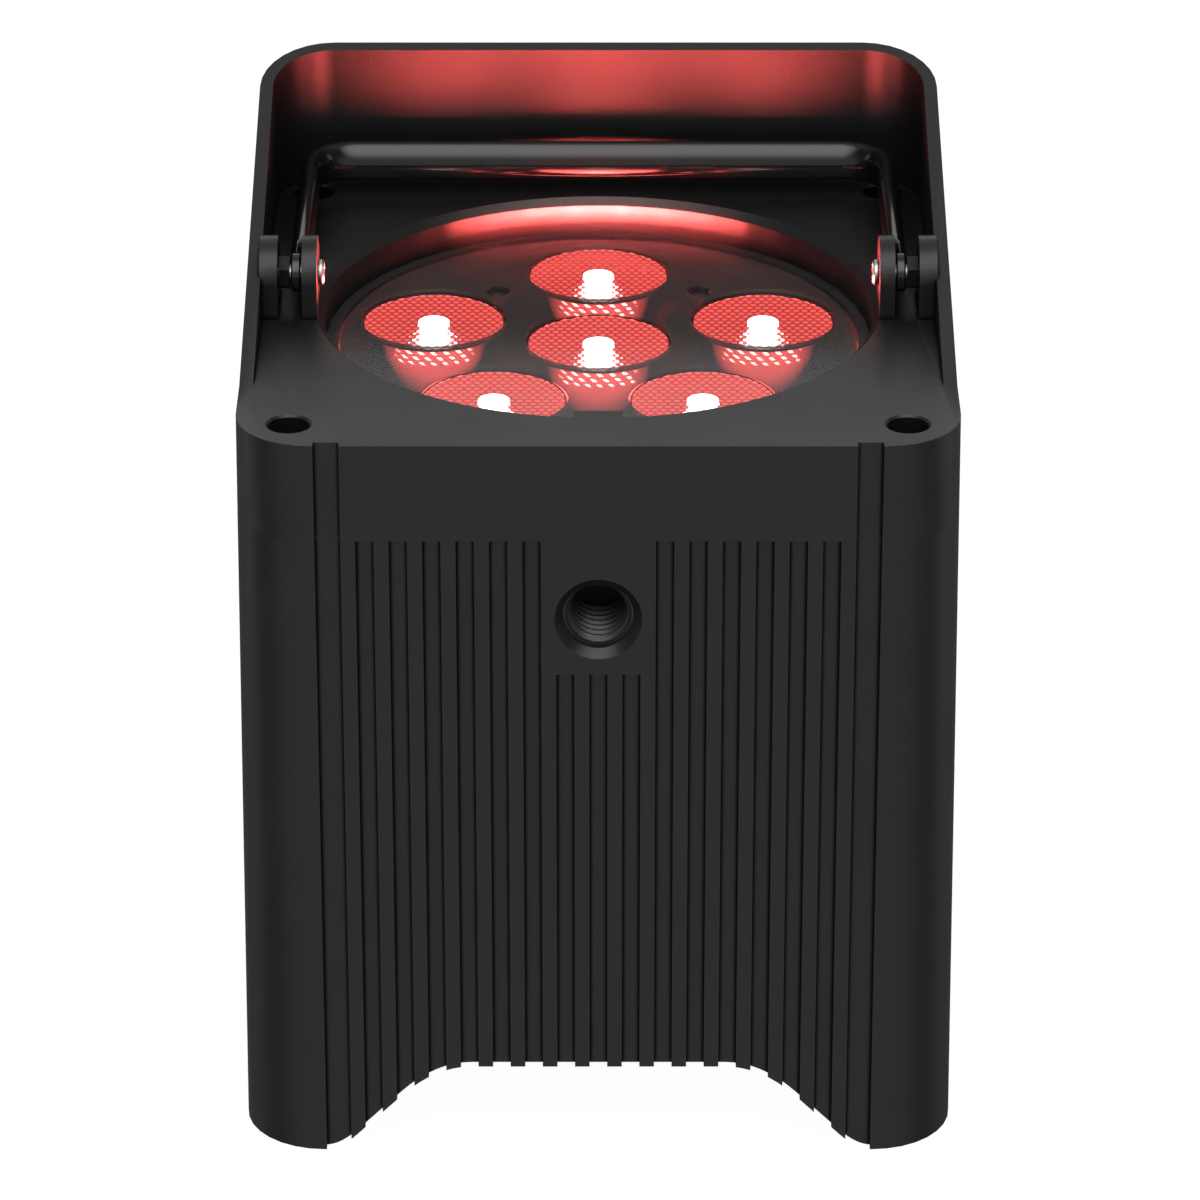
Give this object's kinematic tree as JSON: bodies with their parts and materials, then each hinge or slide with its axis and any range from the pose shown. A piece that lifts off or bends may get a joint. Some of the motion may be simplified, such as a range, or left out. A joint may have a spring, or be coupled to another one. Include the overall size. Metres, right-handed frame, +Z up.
{
  "type": "par can light",
  "caption": "Square battery par light with lenses under a clear window, a sloped glare shield, folding bail handle and arched feet.",
  "frame": {"origin": "centre of the case at floor level, in the plane of the four feet", "axes": "+Z up through the lenses, -Y towards the front with the threaded mounting hole, +X to the right"},
  "size_m": [0.1322, 0.1322, 0.1707],
  "materials": {
    "case_black": "fine satin black powder coat",
    "handle_black": "gloss black enamel",
    "steel_bright": "bright zinc plate",
    "steel_black": "black oxide",
    "window_clear": "clear polished",
    "gasket_rubber": "matt black",
    "mask_black": "satin black",
    "lens_red": "clear acrylic lit red",
    "led_lit": "white package, lit",
    "board_black": "black solder mask",
    "board_green": "green solder mask",
    "aluminium_plain": "natural",
    "battery_wrap": "blue shrink wrap",
    "copper_coil": "enamelled copper",
    "wire_red": "soft red insulation",
    "panel_black": "fine black texture",
    "display_glass": "dark display glass",
    "button_grey": "soft grey silicone",
    "rocker_red": "red polycarbonate"
  },
  "bodies": {
    "fixture": {"head_housing": "case_black", "body_shell": "case_black", "thread_bush": "steel_black", "window_glass": "window_clear", "window_gasket": "gasket_rubber", "lens_mask": "mask_black", "lens_centre": "lens_red", "lens_ring_1": "lens_red", "lens_ring_2": "lens_red", "lens_ring_3": "lens_red", "lens_ring_4": "lens_red", "lens_ring_5": "lens_red", "led_centre": "led_lit", "led_ring_1": "led_lit", "led_ring_2": "led_lit", "led_ring_3": "led_lit", "led_ring_4": "led_lit", "led_ring_5": "led_lit", "led_board": "board_black", "heat_sink": "aluminium_plain", "mask_screw_1": "steel_black", "mask_screw_2": "steel_black", "corner_screw_1": "steel_black", "corner_screw_2": "steel_black", "corner_screw_3": "steel_black", "corner_screw_4": "steel_black", "sink_screw_1": "steel_bright", "sink_screw_2": "steel_bright", "sink_screw_3": "steel_bright", "sink_screw_4": "steel_bright", "pivot_screw_left": "steel_bright", "pivot_screw_right": "steel_bright", "pivot_nut_left": "steel_black", "pivot_nut_right": "steel_black", "battery_pack": "battery_wrap", "battery_tray": "aluminium_plain", "side_bracket_left": "aluminium_plain", "side_bracket_right": "aluminium_plain", "battery_strap": "steel_black", "driver_board": "board_green", "driver_inductor": "copper_coil", "driver_capacitor_1": "panel_black", "driver_capacitor_2": "panel_black", "led_cable": "wire_red", "bottom_panel": "panel_black", "display": "display_glass", "control_board": "board_green", "rocker_frame": "panel_black", "dc_inlet": "panel_black", "inlet_nut": "steel_bright", "panel_screw_1": "steel_black", "panel_screw_2": "steel_black", "panel_screw_3": "steel_black", "panel_screw_4": "steel_black"},
    "handle": {"bail_handle": "handle_black"},
    "rocker": {"power_rocker": "rocker_red"},
    "button_1": {"button_1": "button_grey"},
    "button_2": {"button_2": "button_grey"},
    "button_3": {"button_3": "button_grey"},
    "button_4": {"button_4": "button_grey"}
  },
  "joints": [
    {"name": "handle_fold", "type": "hinge", "parent": "fixture", "child": "handle", "pos_m": [0, -0.00085, 0.1501], "axis": [1, 0, 0], "range_deg": [0, 180]},
    {"name": "rocker_tilt", "type": "hinge", "parent": "fixture", "child": "rocker", "pos_m": [-0.026, -0.026, 0.024], "axis": [0, -1, 0], "range_deg": [0, 14]},
    {"name": "button_1_press", "type": "slide", "parent": "fixture", "child": "button_1", "axis": [0, 0, 1], "range_m": [0, 0.0008], "stiffness_N_per_m": 400, "springref_m": -0.0005},
    {"name": "button_2_press", "type": "slide", "parent": "fixture", "child": "button_2", "axis": [0, 0, 1], "range_m": [0, 0.0008], "stiffness_N_per_m": 400, "springref_m": -0.0005},
    {"name": "button_3_press", "type": "slide", "parent": "fixture", "child": "button_3", "axis": [0, 0, 1], "range_m": [0, 0.0008], "stiffness_N_per_m": 400, "springref_m": -0.0005},
    {"name": "button_4_press", "type": "slide", "parent": "fixture", "child": "button_4", "axis": [0, 0, 1], "range_m": [0, 0.0008], "stiffness_N_per_m": 400, "springref_m": -0.0005}
  ]
}
